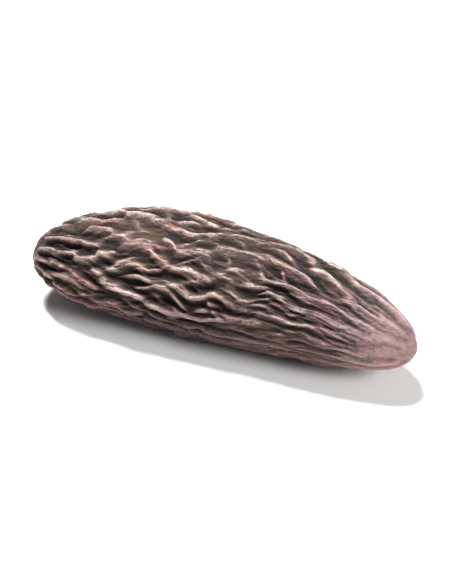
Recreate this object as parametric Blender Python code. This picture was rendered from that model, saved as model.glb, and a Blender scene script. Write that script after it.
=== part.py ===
"""A dried tonka bean at life size, in metres, with +Z up.

The bean lies on its broad side along X, blunt end at -X and narrow end at +X. Its keel, the sharper
of the two long edges, faces +Y. It is one closed seed, and its wrinkled skin is raised from the
smooth body by a formula: sums of seeded waves whose phase climbs by one turn from fold to fold.

A place on the bean is given along its length, from -1 at the blunt tip to 1 at the narrow tip. A pair
of numbers named as a range says where something begins and where it is complete.
"""

import math

import bmesh
import bpy
import numpy as np

# Driving dimensions of the smooth body
LENGTH = 0.0360
WIDTH = 0.0119
THICKNESS = 0.0086
BOW = 0.0020                # how far the middle stands out towards +Y from the line between the tips
REST_CUT = 0.00022          # height taken off the underside, which leaves the flat resting spot

# Fullness of the outline: an ellipse has 2, and a larger power is fuller
BLUNT_POWER = 3.1
NARROW_POWER = 2.45
POWER_RANGE = (-0.4, 0.8)   # places between which one power passes into the other
WIDTH_TAPER = 0.15          # share of the half width gained at the blunt end and lost at the narrow end
THICKNESS_TAPER = 0.05
SIDE_POWER = 0.96           # cross-section's fullness towards its long edges
KEEL_PINCH = 0.20           # share of the thickness lost along the keel
KEEL_RANGE = (0.45, 1.0)    # cosine of the angle round the body over which the keel is pinched
UNDERSIDE_SHARE = 0.92      # the underside is a little flatter than the top
TIP_EASE = (0.0, 0.35)      # fullness over which what varies round the body starts at a tip

# Slow swells of the whole body
LUMP_HEIGHT = 0.00030
UNDERSIDE_LUMPS = 0.25      # share of the swells that the underside has
UNDERSIDE_RANGE = (-0.95, -0.35)         # sine of the angle round the body

# Wrinkles of the skin
FOLD_DEPTH = 0.00072        # the large folds, ridge to crease
FOLD_SHARES = (0.95, 0.40, 0.35, 1.6)    # of that depth: mean, swing, least and most
FINE_DEPTH = 0.00032        # the finer folds that run over them
FINE_SHARES = (0.90, 0.50, 0.30, 1.5)
DRIFT = 0.100               # sideways wander of the folds, in radians round the body
QUICK_DRIFT = 0.055
FOLD_NARROWNESS = (0.35, 0.95)           # from round ridges to sharp ones, as the shape waves go
SHAPE_RANGE = (-0.9, 0.9)
FINE_NARROWNESS = 0.6
FINE_END_LOSS = 0.4         # share of the fine folds' depth lost where they are an even net
FOLD_SOFTNESS = 0.2         # how far the folds level out where they fork
FINE_SOFTNESS = 0.3
RIDGE_ROUNDING = 0.012
BLUNT_FADE_POWER = 0.2      # how fast the wrinkles sink towards each tip, as a power of the fullness
NARROW_FADE_POWER = 0.8
NARROW_FADE_RANGE = (-0.05, 0.25)        # sine of the polar angle at the narrow tip
NOSE_CALM = 0.45            # share of the large folds' depth lost towards the narrow tip
FINE_NOSE_CALM = 0.75       # the same for the finer folds
NOSE_RANGE = (0.45, 0.95)
REST_MARGIN = 0.00035       # height over the floor by which the relief has its full depth again

# Slanting links between the large folds, which show in patches
LINK_DROP = 1.0             # how far the links lie under the folds outside their patches
LINK_RISE = 0.85            # how much of that drop is made up inside them
LINK_PATCH_RANGE = (-0.7, 0.6)
LINK_RANGE = (0.35, 0.75)   # nearness to the narrow tip over which the links end
LINK_BLUNT_REACH = 0.76     # towards the blunt tip they reach further, by one over this share
LINK_SHARPNESS = 12         # how tight the lines are where folds and links meet

# Where one family of folds passes into the next
BLUNT_RANGE = (-0.55, 0.25)              # tangled folds of the blunt end to the middle folds
SHOULDER_RANGE = (0.70, 0.92)            # middle folds to shoulder folds
SHOULDER_BLUNT_REACH = 0.86              # the same at the blunt end, by one over this share
TIP_RANGE = (0.90, 0.985)                # shoulder folds to tip folds
FINE_TIP_RANGE = (0.78, 0.93)            # fine folds to fine tip folds
BLUNT_NET_RANGE = (0.90, 0.992)          # nearness to each tip over which an even net takes over
NARROW_NET_RANGE = (0.93, 0.99)

# Scar on the keel near the blunt end, where the seed hung in its pod
SCAR_PLACE = -0.74
SCAR_LENGTH = 0.0026
SCAR_WIDTH = 0.0012
SCAR_DEPTH = 0.00016
SCAR_RIM = 0.00008
SCAR_LOBES = (0.12, 0.07)   # unevenness of its outline: three broad lobes and seven small ones
SCAR_FLOOR_RANGE = (0.55, 1.0)           # distances from its centre, where 1 is its edge
SCAR_RIM_REACH = 1.10
SCAR_RIM_WIDTH = 0.25
SCAR_SMOOTH_RANGE = (0.9, 1.5)

# Families of waves: mean count round the body and its spread, mean cycles per metre along it and
# their spread, the seed, and the number of waves
BLUNT_FOLDS = (17, 4.6, 0, 190, 4, 48)
MIDDLE_FOLDS = (17, 3.4, 0, 95, 1, 48)
SHOULDER_FOLDS = (11, 2.0, 0, 70, 2, 48)
TIP_FOLDS = (5, 1.2, 0, 40, 3, 48)
RISING_LINKS = (13, 3.0, 230, 90, 14, 48)
FALLING_LINKS = (13, 3.0, -230, 90, 15, 48)
FINE_FOLDS = (38, 9.0, 0, 300, 5, 48)
FINE_TIP_FOLDS = (16, 3.0, 0, 120, 6, 48)
SLOW_DRIFT_WAVES = (0, 1.2, 0, 50, 11, 24)
QUICK_DRIFT_WAVES = (0, 2.5, 0, 130, 12, 24)
LUMP_WAVES = (0, 2.0, 0, 40, 21, 24)
DEPTH_WAVES = (0, 2.0, 0, 60, 31, 24)
SHAPE_WAVES = (0, 3.0, 0, 90, 32, 24)
LINK_PATCH_WAVES = (0, 2.5, 0, 80, 33, 24)

# Families that run in all directions through space: wavelength, its spread, seed and number
END_NET = (0.0021, 0.0003, 51, 48)
FINE_END_NET = (0.0014, 0.00025, 42, 48)

# Mesh
SEGMENTS = 120              # points round the body, several to each fold
RINGS = 49                  # rings of points between the tips
RING_CROWDING = 0.09        # draws the rings from the tips towards the middle

SKIN_COLOUR = (0.105, 0.066, 0.058, 1.0)
SKIN_ROUGHNESS = 0.48


def clear_scene():
    for old in list(bpy.data.objects):
        bpy.data.objects.remove(old)


def smooth_step(value, low, high):
    """0 below low, 1 above high, and an even S-curve between them."""
    share = np.clip((value - low) / (high - low), 0, 1)
    return share * share * (3 - 2 * share)


def waves(angle, along, family):
    """Complex sum of plane waves over the unrolled skin, of about unit size.

    Each wave goes round the body a whole number of times, so the sum has no seam.
    """
    count, spread, lean, slant, seed, number = family
    draw = np.random.default_rng(seed)
    counts = np.rint(draw.normal(count, spread, number))
    slants = draw.normal(lean, slant, number)
    starts = draw.uniform(0, 2 * math.pi, number)
    total = np.zeros(angle.shape, complex)
    for turns, cycles, start in zip(counts, slants, starts):
        total += np.exp(1j * (turns * angle + 2 * math.pi * cycles * along + start))
    return total / math.sqrt(number)


def space_waves(points, family):
    """The same sum with waves that run in all directions through space, for the rounded ends."""
    length, spread, seed, number = family
    draw = np.random.default_rng(seed)
    directions = draw.normal(0, 1, (number, 3))
    directions /= np.linalg.norm(directions, axis=1, keepdims=True)
    lengths = draw.normal(length, spread, number)
    starts = draw.uniform(0, 2 * math.pi, number)
    total = np.zeros(len(points), complex)
    for direction, wave_length, start in zip(directions, lengths, starts):
        total += np.exp(1j * (2 * math.pi / wave_length * (points @ direction) + start))
    return total / math.sqrt(number)


def fold_height(field, narrowness, softness):
    """Height of the folds from -0.5 in a crease to 0.5 on a ridge, by the phase of the field.

    At narrowness 0 the ridges are round and the creases sharp, and at 1 it is the other way round.
    Where the field is weak, as at a fork, the folds level out.
    """
    share = 0.5 + 0.5 * np.cos(np.angle(field))
    round_ridge = np.sqrt(share + RIDGE_ROUNDING)
    sharp_ridge = 1 - np.sqrt(1 - share + RIDGE_ROUNDING)
    strength = np.abs(field) / (np.abs(field) + softness)
    return (round_ridge * (1 - narrowness) + sharp_ridge * narrowness - 0.5) * strength


def swinging_share(wave, shares):
    """The mean share plus its swing times the wave, held between the least and the most."""
    mean, swing, least, most = shares
    return np.clip(mean + swing * wave, least, most)


def unit_sphere():
    """A sphere mesh with its poles at the bean's tips: (mesh, polar angle, angle round the body)."""
    mesh = bpy.data.meshes.new("tonka_bean")
    sphere = bmesh.new()
    bmesh.ops.create_uvsphere(sphere, u_segments=SEGMENTS, v_segments=RINGS + 1, radius=1.0)
    sphere.to_mesh(mesh)
    sphere.free()
    points = read_vectors(mesh.vertices, "co")
    even = np.arccos(np.clip(-points[:, 2], -1, 1))
    polar = even + RING_CROWDING * np.sin(2 * even)
    angle = np.arctan2(points[:, 1], points[:, 0])
    return mesh, polar, angle


def read_vectors(items, name):
    flat = np.empty(len(items) * 3)
    items.foreach_get(name, flat)
    return flat.reshape(-1, 3)


def write_points(mesh, points):
    mesh.vertices.foreach_set("co", points.astype(np.float32).ravel())
    mesh.update()


def end_fullness(place):
    """Share of the full width and thickness that the body has at a place: 1 halfway, 0 at a tip."""
    power = BLUNT_POWER + (NARROW_POWER - BLUNT_POWER) * smooth_step(place, *POWER_RANGE)
    return np.sqrt(1 - np.abs(place) ** power)


def smooth_body(place, fullness, angle):
    """The body without its relief: tapered, bowed towards +Y, and pinched along the keel."""
    along = LENGTH / 2 * place
    side, up = np.cos(angle), np.sin(angle)
    half_width = WIDTH / 2 * fullness * (1 - WIDTH_TAPER * place)
    half_height = THICKNESS / 2 * fullness * (1 - THICKNESS_TAPER * place)
    across = half_width * np.sign(side) * np.abs(side) ** SIDE_POWER
    height = half_height * up * (1 - KEEL_PINCH * smooth_step(side, *KEEL_RANGE))
    height = np.where(height < 0, height * UNDERSIDE_SHARE, height)
    centre_line = BOW * (1 - place**2)
    return np.stack([along, across + centre_line, height], axis=-1)


def highest(*heights):
    """The highest of several surfaces, with the lines where they meet rounded."""
    total = sum(np.exp(LINK_SHARPNESS * height) for height in heights)
    return np.log(total) / LINK_SHARPNESS


def end_share(place):
    """How far the lengthwise folds have passed into an even net: wholly, at both rounded ends."""
    return smooth_step(-place, *BLUNT_NET_RANGE) + smooth_step(place, *NARROW_NET_RANGE)


def lengthwise_folds(body, place, angle):
    """The folds merge from 17 round the middle to 5 at the nose, and are tangled at the blunt end."""
    along = LENGTH / 2 * place
    nearness = np.maximum(place, -SHOULDER_BLUNT_REACH * place)
    middle = 1 - smooth_step(nearness, *SHOULDER_RANGE)
    tip = smooth_step(np.abs(place), *TIP_RANGE)
    shoulder = np.clip(1 - middle - tip, 0, None)
    blunt = 1 - smooth_step(place, *BLUNT_RANGE)
    folds = (
        middle * blunt * waves(angle, along, BLUNT_FOLDS)
        + middle * (1 - blunt) * waves(angle, along, MIDDLE_FOLDS)
        + shoulder * waves(angle, along, SHOULDER_FOLDS)
        + tip * waves(angle, along, TIP_FOLDS)
    )
    at_end = end_share(place)
    return (1 - at_end) * folds + at_end * space_waves(body, END_NET)


def large_folds(body, place, angle, shape):
    """The lengthwise folds, joined to a net by slanting links in patches."""
    along = LENGTH / 2 * place
    rounder, sharper = FOLD_NARROWNESS
    narrowness = rounder + (sharper - rounder) * smooth_step(shape, *SHAPE_RANGE)
    patches = waves(angle, along, LINK_PATCH_WAVES)
    nearness = np.maximum(place, -LINK_BLUNT_REACH * place)
    rise = LINK_RISE * (1 - smooth_step(nearness, *LINK_RANGE))
    rising = fold_height(waves(angle, along, RISING_LINKS), 1, FOLD_SOFTNESS)
    falling = fold_height(waves(angle, along, FALLING_LINKS), 1, FOLD_SOFTNESS)
    return highest(
        fold_height(lengthwise_folds(body, place, angle), narrowness, FOLD_SOFTNESS),
        rising - LINK_DROP + rise * smooth_step(patches.real, *LINK_PATCH_RANGE),
        falling - LINK_DROP + rise * smooth_step(patches.imag, *LINK_PATCH_RANGE),
    )


def fine_folds(body, place, angle):
    """Narrower folds over the large ones, which pass into an even net at the ends as those do."""
    along = LENGTH / 2 * place
    near_tip = smooth_step(np.abs(place), *FINE_TIP_RANGE)
    folds = (1 - near_tip) * waves(angle, along, FINE_FOLDS)
    folds += near_tip * waves(angle, along, FINE_TIP_FOLDS)
    at_end = end_share(place)
    folds = (1 - at_end) * folds + at_end * space_waves(body, FINE_END_NET)
    return (1 - FINE_END_LOSS * at_end) * fold_height(folds, FINE_NARROWNESS, FINE_SOFTNESS)


def fold_relief(body, place, fullness, angle):
    """Height of the wrinkles: the large folds with the fine ones over them, sinking at the tips."""
    along = LENGTH / 2 * place
    ease = smooth_step(fullness, *TIP_EASE)
    shape = waves(angle, along, SHAPE_WAVES).real * ease
    depth = waves(angle, along, DEPTH_WAVES).real * ease
    large = FOLD_DEPTH * swinging_share(depth, FOLD_SHARES) * large_folds(body, place, angle, shape)
    fine = FINE_DEPTH * swinging_share(shape, FINE_SHARES) * fine_folds(body, place, angle)
    nose = smooth_step(place, *NOSE_RANGE)
    from_tip = smooth_step(np.sqrt(1 - place**2), *NARROW_FADE_RANGE)
    fade = np.where(place < 0, fullness**BLUNT_FADE_POWER, fullness**NARROW_FADE_POWER * from_tip)
    return (large * (1 - NOSE_CALM * nose) + fine * (1 - FINE_NOSE_CALM * nose)) * fade


def scar_relief(body, angle):
    """(height of the scar's sunk floor and raised rim, share of the folds that it smooths away)."""
    along_scar = (body[:, 0] - LENGTH / 2 * SCAR_PLACE) / (SCAR_LENGTH / 2)
    across_scar = body[:, 2] / (SCAR_WIDTH / 2)
    bearing = np.arctan2(across_scar, along_scar)
    broad_lobes, small_lobes = SCAR_LOBES
    reach = np.hypot(along_scar, across_scar)
    reach += broad_lobes * np.sin(3 * bearing + 1) + small_lobes * np.sin(7 * bearing)
    reach = np.where(np.cos(angle) > 0, reach, np.inf)
    floor = -SCAR_DEPTH * (1 - smooth_step(reach, *SCAR_FLOOR_RANGE))
    rim = SCAR_RIM * np.exp(-(((reach - SCAR_RIM_REACH) / SCAR_RIM_WIDTH) ** 2))
    return floor + rim, 1 - smooth_step(reach, *SCAR_SMOOTH_RANGE)


def make_skin():
    """The finished mesh: body, swells, folds and scar, cut flat where it rests, centred on X and Y."""
    mesh, polar, angle = unit_sphere()
    place = -np.cos(polar)
    along = LENGTH / 2 * place
    fullness = end_fullness(place)
    wander = DRIFT * waves(angle, along, SLOW_DRIFT_WAVES).real
    wander += QUICK_DRIFT * waves(angle, along, QUICK_DRIFT_WAVES).real
    turned = angle + wander * np.sin(polar)
    body = smooth_body(place, fullness, turned)
    write_points(mesh, body)
    normals = read_vectors(mesh.vertex_normals, "vector")

    off_underside = smooth_step(np.sin(turned), *UNDERSIDE_RANGE)
    lump_share = UNDERSIDE_LUMPS + (1 - UNDERSIDE_LUMPS) * off_underside
    swells = LUMP_HEIGHT * waves(angle, along, LUMP_WAVES).real * fullness * lump_share
    floor = (body + normals * swells[:, None])[:, 2].min() + REST_CUT
    clear = smooth_step(body[:, 2] - floor, 0, REST_MARGIN)
    scar, smoothed = scar_relief(body, turned)
    folds = fold_relief(body, place, fullness, angle) * (1 - smoothed) * clear
    points = body + normals * (swells + folds + scar)[:, None]
    points[:, 2] = np.maximum(points[:, 2] - floor, 0)
    middle = (points.min(axis=0) + points.max(axis=0)) / 2
    points[:, :2] -= middle[:2]
    write_points(mesh, points)
    return mesh


def skin_material():
    material = bpy.data.materials.new("bean_skin")
    material.use_nodes = True
    shader = material.node_tree.nodes["Principled BSDF"]
    shader.inputs["Base Color"].default_value = SKIN_COLOUR
    shader.inputs["Roughness"].default_value = SKIN_ROUGHNESS
    shader.inputs["Metallic"].default_value = 0.0
    return material


def main():
    clear_scene()
    mesh = make_skin()
    mesh.shade_smooth()
    mesh.materials.append(skin_material())
    bean = bpy.data.objects.new("tonka_bean", mesh)
    bpy.context.scene.collection.objects.link(bean)


main()
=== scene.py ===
import math

import bpy
import numpy as np
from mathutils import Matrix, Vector


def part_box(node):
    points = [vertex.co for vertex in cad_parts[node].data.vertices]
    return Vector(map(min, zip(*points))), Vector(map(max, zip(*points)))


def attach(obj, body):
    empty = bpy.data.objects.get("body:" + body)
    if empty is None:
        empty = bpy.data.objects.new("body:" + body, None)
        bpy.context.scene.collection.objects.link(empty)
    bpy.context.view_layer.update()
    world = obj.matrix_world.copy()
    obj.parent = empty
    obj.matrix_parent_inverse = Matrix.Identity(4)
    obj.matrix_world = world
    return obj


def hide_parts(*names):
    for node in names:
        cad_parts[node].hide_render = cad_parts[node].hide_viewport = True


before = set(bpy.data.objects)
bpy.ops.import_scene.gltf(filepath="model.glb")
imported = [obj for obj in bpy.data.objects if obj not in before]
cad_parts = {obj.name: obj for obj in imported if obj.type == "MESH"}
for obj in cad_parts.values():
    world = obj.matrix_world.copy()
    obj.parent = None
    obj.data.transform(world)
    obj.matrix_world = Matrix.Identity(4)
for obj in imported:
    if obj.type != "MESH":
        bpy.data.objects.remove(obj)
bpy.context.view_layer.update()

mm = 0.001
print("frame loaded:", len(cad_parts), "node")

# One tonka bean, lying on its broad side. A place on it runs from -1 at the blunt tip to 1 at the
# narrow tip. A pair of numbers named as a range says where something begins and is complete.

# The seed without its wrinkles, and the grid of points over it
bean = {
    "length": 36.0 * mm,
    "width": 11.9 * mm,
    "thickness": 8.6 * mm,
    "bow": 2.0 * mm,            # how far the middle stands out towards +Y
    "restCut": 0.22 * mm,       # taken off the underside, which leaves the flat resting spot
    "restMargin": 0.35 * mm,    # height over the floor where the relief has its full depth again
    "bluntPower": 3.1,          # fullness of each end: an ellipse has 2, a larger power is fuller
    "narrowPower": 2.45,
    "powerRange": (-0.4, 0.8),  # places between which one power passes into the other
    "widthTaper": 0.15,         # share of the half width gained at the blunt end, lost at the other
    "thicknessTaper": 0.05,
    "sidePower": 0.96,          # the section's fullness towards its long edges
    "keelPinch": 0.20,          # share of the thickness lost along the keel
    "keelRange": (0.45, 1.0),   # cosine of the angle round the seed
    "undersideShare": 0.92,     # the underside is a little flatter than the top
    "rings": 244,
    "segments": 400,
    "ringCrowding": 0.14,       # draws the rings from the tips towards the middle
}


def smoothStep(value, low, high):
    # 0 below low, 1 above high, an even S between them
    share = np.clip((value - low) / (high - low), 0, 1)
    return share * share * (3 - 2 * share)


def ringGrid():
    # Polar angle from the blunt tip to the narrow one, and angle round the seed, at each point
    steps = np.linspace(0, 1, bean["rings"] + 2)
    polar = math.pi * steps + bean["ringCrowding"] * np.sin(2 * math.pi * steps)
    around = np.arange(bean["segments"]) / bean["segments"] * 2 * math.pi
    return np.meshgrid(polar, around, indexing="ij")


def endFullness(place):
    # Share of the full section: the root of 1 less the place to a power, 1 halfway and 0 at a tip
    change = bean["narrowPower"] - bean["bluntPower"]
    power = bean["bluntPower"] + change * smoothStep(place, *bean["powerRange"])
    return np.sqrt(1 - np.abs(place) ** power)


def smoothBody(place, fullness, angle):
    # Tapered oval sections, bowed towards +Y, pinched along the keel and flatter underneath
    side, up = np.cos(angle), np.sin(angle)
    halfWidth = bean["width"] / 2 * fullness * (1 - bean["widthTaper"] * place)
    halfHeight = bean["thickness"] / 2 * fullness * (1 - bean["thicknessTaper"] * place)
    across = halfWidth * np.sign(side) * np.abs(side) ** bean["sidePower"]
    height = halfHeight * up * (1 - bean["keelPinch"] * smoothStep(side, *bean["keelRange"]))
    height = np.where(height < 0, height * bean["undersideShare"], height)
    centreLine = bean["bow"] * (1 - place**2)
    return np.stack([bean["length"] / 2 * place, across + centreLine, height], axis=-1)


def gridNormals(grid):
    # Cross product of the two directions of the grid; the tips point straight out along X
    alongGrid = np.gradient(grid, axis=0)
    roundGrid = np.roll(grid, -1, 1) - np.roll(grid, 1, 1)
    normals = np.cross(roundGrid, alongGrid)
    normals /= np.linalg.norm(normals, axis=-1, keepdims=True) + 1e-12
    normals[0] = (-1, 0, 0)
    normals[-1] = (1, 0, 0)
    return normals


# The wrinkles and the slow swells under them
skin = {
    # Depths, from ridge to crease
    "foldDepth": 0.72 * mm,
    "foldShares": (0.95, 0.40, 0.35, 1.6),      # of that depth: mean, swing, least and most
    "fineDepth": 0.32 * mm,
    "fineShares": (0.90, 0.50, 0.30, 1.5),
    "creaseDepth": 0.13 * mm,
    "grainDepth": 0.012 * mm,
    "tipEase": (0, 0.35),       # fullness over which what varies round the seed starts at a tip
    # Slow swells of the whole seed
    "lumpHeight": 0.30 * mm,
    "undersideLumps": 0.25,     # share of the swells that the underside has
    "undersideRange": (-0.95, -0.35),           # sine of the angle round the seed
    # Shape of the folds: narrow 0 gives round ridges, and 1 sharp ones
    "foldNarrow": (0.35, 0.95),
    "shapeRange": (-0.9, 0.9),  # value of the shape waves over which the folds go from one to the other
    "fineNarrow": 0.6,
    "foldSoftness": 0.2,        # how far the folds level out where they fork
    "fineSoftness": 0.3,
    "creaseSoftness": 0.4,
    "ridgeRounding": 0.012,
    "drift": 0.100,             # sideways wander of the folds, in radians round the seed
    "quickDrift": 0.055,
    # Slanting links between the large folds, which show in patches
    "linkDrop": 1.0,            # how far the links lie under the folds outside their patches
    "linkRise": 0.85,           # how much of that drop is made up inside them
    "linkPatchRange": (-0.7, 0.6),
    "linkRange": (0.35, 0.75),  # nearness to the narrow tip over which the links end
    "linkBluntReach": 0.76,     # towards the blunt tip they reach further, by one over this share
    "linkSharpness": 12,        # how tight the lines are where folds and links meet
    # Where one family of folds passes into the next
    "bluntRange": (-0.55, 0.25),
    "shoulderRange": (0.70, 0.92),
    "shoulderBluntReach": 0.86,                 # as the links' reach towards the blunt tip
    "tipRange": (0.90, 0.985),
    "fineTipRange": (0.78, 0.93),
    "creaseTipRange": (0.55, 0.85),
    "bluntNetRange": (0.90, 0.992),             # nearness to each tip over which an even net takes over
    "narrowNetRange": (0.93, 0.99),
    # Where the wrinkles are shallower
    "fineEndLoss": 0.4,         # share of the finer folds' depth lost where they are an even net
    "noseRange": (0.45, 0.95),
    "noseCalm": 0.45,           # share of the large folds' depth lost towards the narrow tip
    "fineNoseCalm": 0.75,       # the same for the finer folds and creases
    "smallScarCalm": 0.6,       # share of the creases and grain lost on the scar
    "bluntFadePower": 0.2,      # how fast the wrinkles sink towards each tip
    "narrowFadePower": 0.8,
    "narrowFadeRange": (-0.05, 0.25),           # sine of the polar angle at the narrow tip
    # Families of waves: mean count round the seed and its spread, mean cycles per metre along it and
    # their spread, seed, and number of waves
    "bluntFolds": (17, 4.6, 0, 190, 4, 48),
    "middleFolds": (17, 3.4, 0, 95, 1, 48),
    "shoulderFolds": (11, 2.0, 0, 70, 2, 48),
    "tipFolds": (5, 1.2, 0, 40, 3, 48),
    "risingLinks": (13, 3.0, 230, 90, 14, 48),
    "fallingLinks": (13, 3.0, -230, 90, 15, 48),
    "fineFolds": (38, 9.0, 0, 300, 5, 48),
    "fineTipFolds": (16, 3.0, 0, 120, 6, 48),
    "creases": (80, 22.0, 0, 700, 7, 48),
    "grain": (0, 40.0, 0, 1000, 8, 64),
    "slowDrift": (0, 1.2, 0, 50, 11, 24),
    "fastDrift": (0, 2.5, 0, 130, 12, 24),
    "lumps": (0, 2.0, 0, 40, 21, 24),
    "depthWaves": (0, 2.0, 0, 60, 31, 24),
    "shapeWaves": (0, 3.0, 0, 90, 32, 24),
    "linkWaves": (0, 2.5, 0, 80, 33, 24),
    # Families that run in all directions: wavelength and its spread, seed, and number of waves
    "endNet": (2.1 * mm, 0.30 * mm, 51, 48),
    "fineEndNet": (1.4 * mm, 0.25 * mm, 42, 48),
    "creaseEndNet": (0.5 * mm, 0.1 * mm, 43, 48),
}


def waves(angle, along, family):
    # A complex sum of plane waves over the unrolled skin, of about unit size. Each goes round the
    # seed a whole number of times, so there is no seam.
    count, spread, lean, slant, seed, number = family
    draw = np.random.default_rng(seed)
    counts = np.rint(draw.normal(count, spread, number))
    slants = draw.normal(lean, slant, number)
    starts = draw.uniform(0, 2 * math.pi, number)
    total = np.zeros(angle.shape, complex)
    for turns, cycles, start in zip(counts, slants, starts):
        total += np.exp(1j * (turns * angle + 2 * math.pi * cycles * along + start))
    return total / math.sqrt(number)


def spaceWaves(points, family):
    # The same sum with waves that run in all directions through space, for the rounded ends
    length, spread, seed, number = family
    draw = np.random.default_rng(seed)
    directions = draw.normal(0, 1, (number, 3))
    directions /= np.linalg.norm(directions, axis=1, keepdims=True)
    lengths = draw.normal(length, spread, number)
    starts = draw.uniform(0, 2 * math.pi, number)
    total = np.zeros(points.shape[:-1], complex)
    for direction, waveLength, start in zip(directions, lengths, starts):
        total += np.exp(1j * (2 * math.pi / waveLength * (points @ direction) + start))
    return total / math.sqrt(number)


def foldHeight(field, narrow, softness):
    # The phase of the field makes the folds: -0.5 in a crease and 0.5 on a ridge. Where the field is
    # weak, as at a fork, they level out.
    share = 0.5 + 0.5 * np.cos(np.angle(field))
    roundRidge = np.sqrt(share + skin["ridgeRounding"])
    sharpRidge = 1 - np.sqrt(1 - share + skin["ridgeRounding"])
    strength = np.abs(field) / (np.abs(field) + softness)
    return (roundRidge * (1 - narrow) + sharpRidge * narrow - 0.5) * strength


def highest(*heights):
    # The highest of several surfaces, with the meeting lines rounded
    total = sum(np.exp(skin["linkSharpness"] * height) for height in heights)
    return np.log(total) / skin["linkSharpness"]


def swingingShare(wave, shares):
    # The mean share plus its swing times the wave, held between the least and the most
    mean, swing, least, most = shares
    return np.clip(mean + swing * wave, least, most)


def endShare(place):
    # How far the folds have passed into an even net: wholly, at both rounded ends
    blunt = smoothStep(-place, *skin["bluntNetRange"])
    return blunt + smoothStep(place, *skin["narrowNetRange"])


def lengthwiseFolds(body, place, angle):
    # 17 folds round the middle, tangled towards the blunt end, merge to 11 and then 5 at the tips
    along = bean["length"] / 2 * place
    nearness = np.maximum(place, -skin["shoulderBluntReach"] * place)
    middle = 1 - smoothStep(nearness, *skin["shoulderRange"])
    tip = smoothStep(np.abs(place), *skin["tipRange"])
    shoulder = np.clip(1 - middle - tip, 0, None)
    blunt = 1 - smoothStep(place, *skin["bluntRange"])
    folds = (
        middle * blunt * waves(angle, along, skin["bluntFolds"])
        + middle * (1 - blunt) * waves(angle, along, skin["middleFolds"])
        + shoulder * waves(angle, along, skin["shoulderFolds"])
        + tip * waves(angle, along, skin["tipFolds"])
    )
    atEnd = endShare(place)
    return (1 - atEnd) * folds + atEnd * spaceWaves(body, skin["endNet"])


def largeFolds(body, place, angle, shape):
    # The lengthwise folds, joined to a net by slanting links in patches
    along = bean["length"] / 2 * place
    rounder, sharper = skin["foldNarrow"]
    narrow = rounder + (sharper - rounder) * smoothStep(shape, *skin["shapeRange"])
    patches = waves(angle, along, skin["linkWaves"])
    nearness = np.maximum(place, -skin["linkBluntReach"] * place)
    rise = skin["linkRise"] * (1 - smoothStep(nearness, *skin["linkRange"]))
    rising = foldHeight(waves(angle, along, skin["risingLinks"]), 1, skin["foldSoftness"])
    falling = foldHeight(waves(angle, along, skin["fallingLinks"]), 1, skin["foldSoftness"])
    return highest(
        foldHeight(lengthwiseFolds(body, place, angle), narrow, skin["foldSoftness"]),
        rising - skin["linkDrop"] + rise * smoothStep(patches.real, *skin["linkPatchRange"]),
        falling - skin["linkDrop"] + rise * smoothStep(patches.imag, *skin["linkPatchRange"]),
    )


def fineFolds(body, place, angle):
    # Narrower folds over the large ones, which pass into an even net at the ends as those do
    along = bean["length"] / 2 * place
    nearTip = smoothStep(np.abs(place), *skin["fineTipRange"])
    folds = (1 - nearTip) * waves(angle, along, skin["fineFolds"])
    folds += nearTip * waves(angle, along, skin["fineTipFolds"])
    atEnd = endShare(place)
    folds = (1 - atEnd) * folds + atEnd * spaceWaves(body, skin["fineEndNet"])
    loss = 1 - skin["fineEndLoss"] * atEnd
    return loss * foldHeight(folds, skin["fineNarrow"], skin["fineSoftness"])


def creaseFolds(body, place, angle):
    # Small creases over the folds, which pass into an even net earlier than those do
    along = bean["length"] / 2 * place
    nearTip = smoothStep(np.abs(place), *skin["creaseTipRange"])
    creases = (1 - nearTip) * waves(angle, along, skin["creases"])
    creases += nearTip * spaceWaves(body, skin["creaseEndNet"])
    return foldHeight(creases, skin["fineNarrow"], skin["creaseSoftness"])


def wrinkles(body, polar, fullness, angle, scarCalm):
    # The sum of large folds, finer folds, creases and grain, calmer on the nose and the scar and
    # sinking towards each tip
    place = -np.cos(polar)
    along = bean["length"] / 2 * place
    offTips = smoothStep(fullness, *skin["tipEase"])
    shape = waves(angle, along, skin["shapeWaves"]).real * offTips
    depth = waves(angle, along, skin["depthWaves"]).real * offTips
    grain = waves(angle, along, skin["grain"]).real * offTips
    large = swingingShare(depth, skin["foldShares"]) * largeFolds(body, place, angle, shape)
    fine = swingingShare(shape, skin["fineShares"]) * fineFolds(body, place, angle)
    small = skin["creaseDepth"] * creaseFolds(body, place, angle) + skin["grainDepth"] * grain
    nose = smoothStep(place, *skin["noseRange"])
    fineCalm = 1 - skin["fineNoseCalm"] * nose
    relief = skin["foldDepth"] * large * (1 - skin["noseCalm"] * nose) * (1 - scarCalm)
    relief += skin["fineDepth"] * fine * fineCalm * (1 - scarCalm)
    relief += small * fineCalm * (1 - skin["smallScarCalm"] * scarCalm)
    bluntFade = fullness ** skin["bluntFadePower"]
    narrowFade = smoothStep(np.sin(polar), *skin["narrowFadeRange"])
    narrowFade = narrowFade * fullness ** skin["narrowFadePower"]
    return relief * np.where(place < 0, bluntFade, narrowFade)


# The scar on the keel near the blunt end, where the seed hung in its pod
scar = {
    "place": -0.74,
    "length": 2.6 * mm,
    "width": 1.2 * mm,
    "depth": 0.16 * mm,
    "rim": 0.08 * mm,
    "lobes": (0.12, 0.07),      # unevenness of its outline: three broad lobes and seven small ones
    "floorRange": (0.55, 1.0),  # distances from its centre, where 1 is its edge
    "rimReach": 1.10,
    "rimWidth": 0.25,
    "smoothRange": (0.9, 1.5),
}


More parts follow.
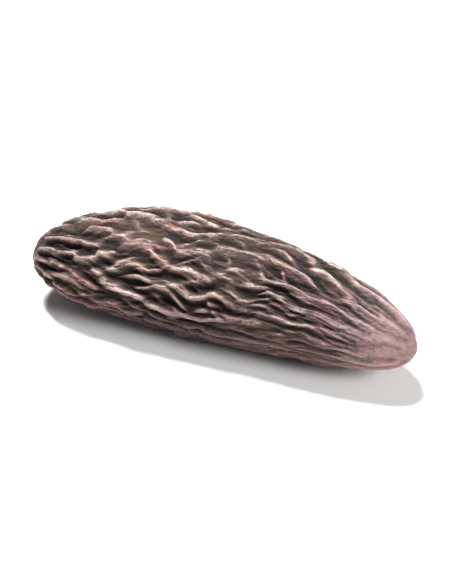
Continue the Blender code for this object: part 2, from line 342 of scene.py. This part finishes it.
def scarLayers(body, angle):
    # A sunk uneven oval with a raised rim, and the share of the folds that it smooths away
    centre = bean["length"] / 2 * scar["place"]
    alongScar = (body[..., 0] - centre) / (scar["length"] / 2)
    acrossScar = body[..., 2] / (scar["width"] / 2)
    bearing = np.arctan2(acrossScar, alongScar)
    broad, small = scar["lobes"]
    reach = np.hypot(alongScar, acrossScar)
    reach += broad * np.sin(3 * bearing + 1) + small * np.sin(7 * bearing)
    reach = np.where(np.cos(angle) > 0, reach, np.inf)
    floor = 1 - smoothStep(reach, *scar["floorRange"])
    rim = np.exp(-(((reach - scar["rimReach"]) / scar["rimWidth"]) ** 2))
    return floor, rim, 1 - smoothStep(reach, *scar["smoothRange"])


# What the surface tells its paint: how high each point stands over the skin round it, and where the
# top, the nose and the scar are
# The paint uses these for painted shade in the creases and beneath the seed, and for a painted
# highlight on the top and the nose
marks = {
    "ridgeHeight": 0.42 * mm,   # from valley to ridge over which the colour goes from dark, partly painted shade, to pale
    "level": 0.45,              # crest value of a point that is level with the skin round it
    "reach": (3, 5),            # rings and segments over which the skin round a point is averaged
    "endReach": (12, 1),        # the same near the tips, where whole rings are averaged
    "endRange": (0.35, 0.80),   # fullness over which a tip ends
    "endLoss": 0.5,             # share of the contrast lost at the tips
    "topRange": (-0.60, 0.30),  # sine of the angle round the seed
    "topLumps": 0.25,
    "noseRange": (0.50, 0.92),
    "rimShare": 0.3,
}


def softened(height, alongReach, roundReach):
    # Three rounds of box averages over the grid, which come close to a bell curve
    for _ in range(3):
        padded = np.pad(height, ((alongReach, alongReach), (0, 0)), mode="edge")
        shifts = [padded[k:k + len(height)] for k in range(2 * alongReach + 1)]
        height = np.mean(shifts, axis=0)
        height = np.mean([np.roll(height, k, 1) for k in range(-roundReach, roundReach + 1)], axis=0)
    return height


def crestLayer(relief, fullness):
    # The relief less its average round about, as 0 in a valley and 1 on a ridge
    ringMean = np.broadcast_to(relief.mean(axis=1, keepdims=True), relief.shape)
    nearEnd = 1 - smoothStep(fullness, *marks["endRange"])
    level = (1 - nearEnd) * softened(relief, *marks["reach"])
    level += nearEnd * softened(ringMean, *marks["endReach"])
    height = (relief - level) * (1 - marks["endLoss"] * nearEnd)
    return np.clip(marks["level"] + height / marks["ridgeHeight"], 0, 1)


def beanSurface():
    # Rings of points from the blunt tip to the narrow one, moved out along the smooth body's normals
    # by the swells, the wrinkles and the scar, and cut flat at the floor
    polar, angle = ringGrid()
    place = -np.cos(polar)
    along = bean["length"] / 2 * place
    fullness = endFullness(place)
    wander = skin["drift"] * waves(angle, along, skin["slowDrift"]).real
    wander += skin["quickDrift"] * waves(angle, along, skin["fastDrift"]).real
    turned = angle + wander * np.sin(polar)
    body = smoothBody(place, fullness, turned)
    normals = gridNormals(body)

    lumps = waves(angle, along, skin["lumps"]).real
    offUnderside = smoothStep(np.sin(turned), *skin["undersideRange"])
    lumpShare = skin["undersideLumps"] + (1 - skin["undersideLumps"]) * offUnderside
    swells = skin["lumpHeight"] * lumps * fullness * lumpShare
    floor = (body + normals * swells[..., None])[..., 2].min() + bean["restCut"]
    clear = smoothStep(body[..., 2] - floor, 0, bean["restMargin"])
    scarFloor, scarRim, scarCalm = scarLayers(body, turned)
    relief = wrinkles(body, polar, fullness, angle, scarCalm) * clear
    relief += scar["rim"] * scarRim - scar["depth"] * scarFloor
    points = body + normals * (swells + relief)[..., None]
    points[..., 2] = np.maximum(points[..., 2] - floor, 0)
    layers = {
        "crest": crestLayer(relief, fullness),
        # Top is 1 on the upper side and 0 beneath: the paint darkens the crests beneath with painted
        # shade
        "top": smoothStep(np.sin(turned) + marks["topLumps"] * lumps, *marks["topRange"]),
        "nose": smoothStep(place, *marks["noseRange"]),
        "scar": np.clip(scarFloor + marks["rimShare"] * scarRim, 0, 1),
    }
    return points, layers


def closedMesh(name, points, layers):
    # Quads between the rings and a fan of triangles at each tip, all facing out
    rings, segments = bean["rings"], bean["segments"]
    vertices = np.concatenate(
        [points[0].mean(axis=0)[None], points[1:-1].reshape(-1, 3), points[-1].mean(axis=0)[None]]
    )
    first = np.arange(segments)
    second = (first + 1) % segments
    starts = np.arange(rings - 1)[:, None] * segments + 1
    quads = np.stack(
        [starts + first, starts + second, starts + segments + second, starts + segments + first], -1
    )
    lastRing = 1 + (rings - 1) * segments
    tips = np.zeros_like(first), np.full_like(first, len(vertices) - 1)
    bluntFan = np.stack([tips[0], 1 + second, 1 + first], -1)
    narrowFan = np.stack([tips[1], lastRing + first, lastRing + second], -1)
    faces = quads.reshape(-1, 4).tolist() + bluntFan.tolist() + narrowFan.tolist()
    mesh = bpy.data.meshes.new(name)
    mesh.from_pydata(vertices.tolist(), [], faces)
    mesh.shade_smooth()
    for layer, values in layers.items():
        flat = np.concatenate([[values[0].mean()], values[1:-1].ravel(), [values[-1].mean()]])
        mesh.attributes.new(layer, "FLOAT", "POINT").data.foreach_set("value", flat.astype(np.float32))
    piece = bpy.data.objects.new(name, mesh)
    bpy.context.scene.collection.objects.link(piece)
    return piece


class Wire:
    # One value in a shader: arithmetic on wires adds their Math nodes
    def __init__(self, paint, socket):
        self.paint, self.socket = paint, socket

    def __add__(self, other):
        return self.paint.maths("ADD", self, other)

    def __radd__(self, other):
        return self.paint.maths("ADD", other, self)

    def __sub__(self, other):
        return self.paint.maths("SUBTRACT", self, other)

    def __rsub__(self, other):
        return self.paint.maths("SUBTRACT", other, self)

    def __mul__(self, other):
        return self.paint.maths("MULTIPLY", self, other)


class Paint:
    # A material with a Principled shader, and short calls that add its nodes
    def __init__(self, name):
        self.material = bpy.data.materials.new(name)
        self.material.use_nodes = True
        self.tree = self.material.node_tree
        self.shader = self.tree.nodes["Principled BSDF"]

    def node(self, kind, settings=(), output=0, **values):
        # An input is named by its name, or by _ and its number
        made = self.tree.nodes.new("ShaderNode" + kind)
        for name, value in dict(settings).items():
            setattr(made, name, value)
        for name, value in values.items():
            self.feed(made.inputs[int(name[1:]) if name[1:].isdigit() else name], value)
        return Wire(self, made.outputs[output])

    def feed(self, socket, value):
        if isinstance(value, Wire):
            self.tree.links.new(value.socket, socket)
        else:
            socket.default_value = value

    def maths(self, operation, a, b):
        return self.node("Math", {"operation": operation}, _0=a, _1=b)

    def mix(self, share, a, b):
        # Inputs 6 and 7 and output 2 of a Mix node are its colours
        a, b = [v if isinstance(v, Wire) else (*v, 1.0) for v in (a, b)]
        return self.node("Mix", {"data_type": "RGBA"}, output=2, _0=share, _6=a, _7=b)

    def between(self, value, low, high):
        settings = {"interpolation_type": "SMOOTHSTEP"}
        return self.node("MapRange", settings, Value=value, _1=low, _2=high)

    def layer(self, name):
        # Output 2 of an Attribute node is its single value
        return self.node("Attribute", {"attribute_name": name}, output=2)

    def noise(self, stretch, scale, detail, roughness):
        # Output 3 of a Texture Coordinate node is the object's own coordinates
        place = self.node("TexCoord", output=3)
        placed = self.node("Mapping", Vector=place, Scale=(stretch, 1, 1))
        return self.node("TexNoise", Vector=placed, Scale=scale, Detail=detail, Roughness=roughness)


# A noise is its scale along the bean as a share of that across it, its scale per metre, its detail
# and its roughness. Heights are ranges of the crest layer, for most colours with the specks on it.
skinLook = {
    # The valley colour is the skin's own dark tone, made darker as painted shade in the creases
    "valley": (0.007, 0.004, 0.003),
    "flank": (0.040, 0.023, 0.018),
    "flankHeights": (0.12, 0.55),
    "crest": (0.165, 0.107, 0.088),
    "underside": (0.062, 0.033, 0.037),         # the crests' colour underneath: painted shade
    "crestHeights": (0.50, 0.90),
    "specks": (0.6, 1500, 3, 0.60),
    "speckShare": 0.50,         # how far the specks shift the height that the colours follow
    "pores": (0.55, 4600, 3, 0.65),
    "poreShare": 0.60,
    "noseClean": 0.6,           # share of the specks and pores lost on the nose
    # Tints laid over each other in this order: colour, noise, range of the noise, share at most, and
    # for some the heights over which they show
    "tints": (
        {"colour": (0.150, 0.048, 0.042), "noise": (0.45, 260, 3, 0.5), "range": (0.54, 0.68),
         "share": 0.55, "heights": (0.3, 0.8)},
        {"colour": (0.112, 0.050, 0.058), "noise": (0.6, 140, 3, 0.5), "range": (0.50, 0.64),
         "share": 0.50, "heights": (0.15, 0.6)},
        {"colour": (0.072, 0.054, 0.034), "noise": (0.5, 190, 2, 0.5), "range": (0.52, 0.66),
         "share": 0.45},
    ),
    "lilac": (0.370, 0.250, 0.255),             # the nose: a painted highlight, partly its paler tone
    "lilacHeights": (0.28, 0.72),
    "noseHighlightShare": 0.72,
    "pink": (0.290, 0.125, 0.115),              # patches on the nose, and its tip
    "pinkNoise": (0.8, 230, 2, 0.5),
    "pinkRange": (0.50, 0.62),
    "pinkShare": 0.32,
    "tipRange": (0.70, 1.0),
    "tipShare": 0.18,
    "dust": (0.262, 0.202, 0.180),              # the palest ridges of the top: dust, partly a painted highlight where light falls from above
    "dustHeights": (0.70, 1.05),
    "dustNoise": (0.6, 480, 4, 0.6),
    "dustRange": (0.40, 0.60),
    "dustShares": (0.30, 0.55),                 # everywhere, and more in its patches
    "scar": (0.105, 0.074, 0.060),
    "scarRange": (0.3, 1.0),
    "scarSpecks": 1.6,
    "scarShares": (0.35, 0.35),
    "crestRoughness": 0.37,
    "valleyRoughness": 0.90,
    "roughnessHeights": (0.25, 0.9),
    "speckRoughness": 0.2,
    "noseShine": 0.16,          # how much smoother the nose is
    "specular": 0.24,
    "oilCoat": 0.22,
    "oilRoughness": 0.24,
    "oilHeights": (0.45, 0.95),
    "oilShares": (0.8, 0.4),    # on the crests, and on the nose
    "bumpHeight": 0.24 * mm,
    "bumpPores": 0.8,
}


def skinColour(paint, crest, nose, speck, pores, rest):
    # From dark valleys, partly painted shade in the creases, over brown flanks to paler crests with
    # painted shade beneath, with tints in patches, a lilac and pink nose whose lilac is partly a
    # painted highlight, dust and a painted highlight on the ridges of the top and the scar's own
    # colour. Also gives the height used.
    look = skinLook
    top, mark = paint.layer("top"), paint.layer("scar")
    height = crest + (speck - 0.5) * rest * look["speckShare"]
    height = height + (pores - 0.5) * rest * look["poreShare"]
    # Dark in the valleys, partly painted shade in the creases, and paler towards the crests
    colour = paint.mix(paint.between(height, *look["flankHeights"]), look["valley"], look["flank"])
    # The crests beneath the seed take a darker colour: painted shade
    crestShadedBelow = paint.mix(top, look["underside"], look["crest"])
    colour = paint.mix(paint.between(height, *look["crestHeights"]), colour, crestShadedBelow)
    for tint in look["tints"]:
        share = paint.between(paint.noise(*tint["noise"]), *tint["range"]) * tint["share"]
        if "heights" in tint:
            share = share * paint.between(crest, *tint["heights"])
        colour = paint.mix(share, colour, tint["colour"])
    # The pale lilac on the nose's ridges is a painted highlight, partly its paler tone
    noseHighlightShare = nose * paint.between(height, *look["lilacHeights"]) * look["noseHighlightShare"]
    colour = paint.mix(noseHighlightShare, colour, look["lilac"])
    pinkPatches = paint.between(paint.noise(*look["pinkNoise"]), *look["pinkRange"])
    pinkShare = pinkPatches * nose * look["pinkShare"]
    pinkShare = pinkShare + paint.between(nose, *look["tipRange"]) * speck * look["tipShare"]
    colour = paint.mix(pinkShare, colour, look["pink"])
    # Dust on the ridges, partly a painted highlight: it shows only on the top
    dustPatches = paint.between(paint.noise(*look["dustNoise"]), *look["dustRange"])
    everywhere, inPatches = look["dustShares"]
    dustAndTopHighlight = paint.between(height, *look["dustHeights"]) * top * (everywhere + dustPatches * inPatches)
    colour = paint.mix(dustAndTopHighlight, colour, look["dust"])
    everywhere, inPatches = look["scarShares"]
    onScar = paint.between(mark + (speck - 0.5) * look["scarSpecks"], *look["scarRange"])
    return height, paint.mix(onScar * (everywhere + dustPatches * inPatches), colour, look["scar"])


def skinPaint():
    # Colour by height and patches, smoother and a little oily on the crests, finely pitted
    look = skinLook
    paint = Paint("beanSkin")
    crest, nose = paint.layer("crest"), paint.layer("nose")
    speck, pores = paint.noise(*look["specks"]), paint.noise(*look["pores"])
    rest = 1 - nose * look["noseClean"]
    height, colour = skinColour(paint, crest, nose, speck, pores, rest)
    shine = paint.between(crest, *look["roughnessHeights"])
    rough = look["valleyRoughness"] + shine * (look["crestRoughness"] - look["valleyRoughness"])
    rough = rough + (speck - 0.5) * look["speckRoughness"] - nose * look["noseShine"]
    pits = (speck + pores * look["bumpPores"]) * rest
    onCrests, onNose = look["oilShares"]
    oil = paint.between(height, *look["oilHeights"]) * onCrests + nose * onNose
    sockets = {
        "Base Color": colour,
        "Roughness": rough,
        "Normal": paint.node("Bump", Height=pits, Distance=look["bumpHeight"], Strength=1.0),
        "Coat Weight": oil * look["oilCoat"],
        "Coat Roughness": look["oilRoughness"],
        "Specular IOR Level": look["specular"],
    }
    for name, value in sockets.items():
        paint.feed(paint.shader.inputs[name], value)
    return paint.material


def makeBean():
    points, layers = beanSurface()
    low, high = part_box("tonka_bean")
    middle = (points.min(axis=(0, 1)) + points.max(axis=(0, 1))) / 2
    points[..., 0] += (low.x + high.x) / 2 - middle[0]
    points[..., 1] += (low.y + high.y) / 2 - middle[1]
    piece = closedMesh("bean_skin_surface", points, layers)
    piece.data.materials.append(skinPaint())
    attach(piece, "root")
    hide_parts("tonka_bean")


# The floor, the light and the camera
stage = {
    "floorSize": 1.2,
    "floorColour": (0.85, 0.85, 0.85),
    "floorRoughness": 0.9,
    "worldColour": (1, 1, 1),
    "worldStrength": 0.17,
    "key": {"place": (-0.11, 0.08, 0.31), "size": 0.09, "power": 4.2},
    "fill": {"place": (0.30, -0.06, 0.18), "size": 0.12, "power": 1.3},
    "azimuth": 26,              # camera to the right of straight on, in degrees
    "elevation": 35,
    "distance": 0.30,
    "lens": 215,
    "target": (0.0, -0.0012, 0.0042),
}


def plainPaint(name, colour, roughness):
    paint = Paint(name)
    paint.feed(paint.shader.inputs["Base Color"], (*colour, 1.0))
    paint.feed(paint.shader.inputs["Roughness"], roughness)
    return paint.material


def areaLight(name, settings):
    light = bpy.data.lights.new(name, "AREA")
    light.size = settings["size"]
    light.energy = settings["power"]
    lamp = bpy.data.objects.new(name, light)
    lamp.location = settings["place"]
    aim = Vector(stage["target"]) - lamp.location
    lamp.rotation_euler = aim.to_track_quat("-Z", "Y").to_euler()
    bpy.context.scene.collection.objects.link(lamp)


def makeFloor():
    half = stage["floorSize"] / 2
    corners = [(-half, -half, 0), (half, -half, 0), (half, half, 0), (-half, half, 0)]
    mesh = bpy.data.meshes.new("floor")
    mesh.from_pydata(corners, [], [(0, 1, 2, 3)])
    floor = bpy.data.objects.new("floor", mesh)
    floor.data.materials.append(plainPaint("paleFloor", stage["floorColour"], stage["floorRoughness"]))
    bpy.context.scene.collection.objects.link(floor)


def makeLight():
    world = bpy.data.worlds.new("studio")
    world.use_nodes = True
    background = world.node_tree.nodes["Background"]
    background.inputs["Color"].default_value = (*stage["worldColour"], 1)
    background.inputs["Strength"].default_value = stage["worldStrength"]
    bpy.context.scene.world = world
    areaLight("keyLight", stage["key"])
    areaLight("fillLight", stage["fill"])


def makeCamera():
    azimuth, elevation = math.radians(stage["azimuth"]), math.radians(stage["elevation"])
    back = Vector((
        math.sin(azimuth) * math.cos(elevation),
        -math.cos(azimuth) * math.cos(elevation),
        math.sin(elevation),
    ))
    data = bpy.data.cameras.new("camera")
    data.lens = stage["lens"]
    camera = bpy.data.objects.new("camera", data)
    camera.location = Vector(stage["target"]) + back * stage["distance"]
    camera.rotation_euler = (-back).to_track_quat("-Z", "Y").to_euler()
    bpy.context.scene.collection.objects.link(camera)
    bpy.context.scene.camera = camera


makeCamera()
makeFloor()
makeLight()
print("stage made")
makeBean()
print("bean made")
bpy.context.scene.view_settings.view_transform = "Standard"
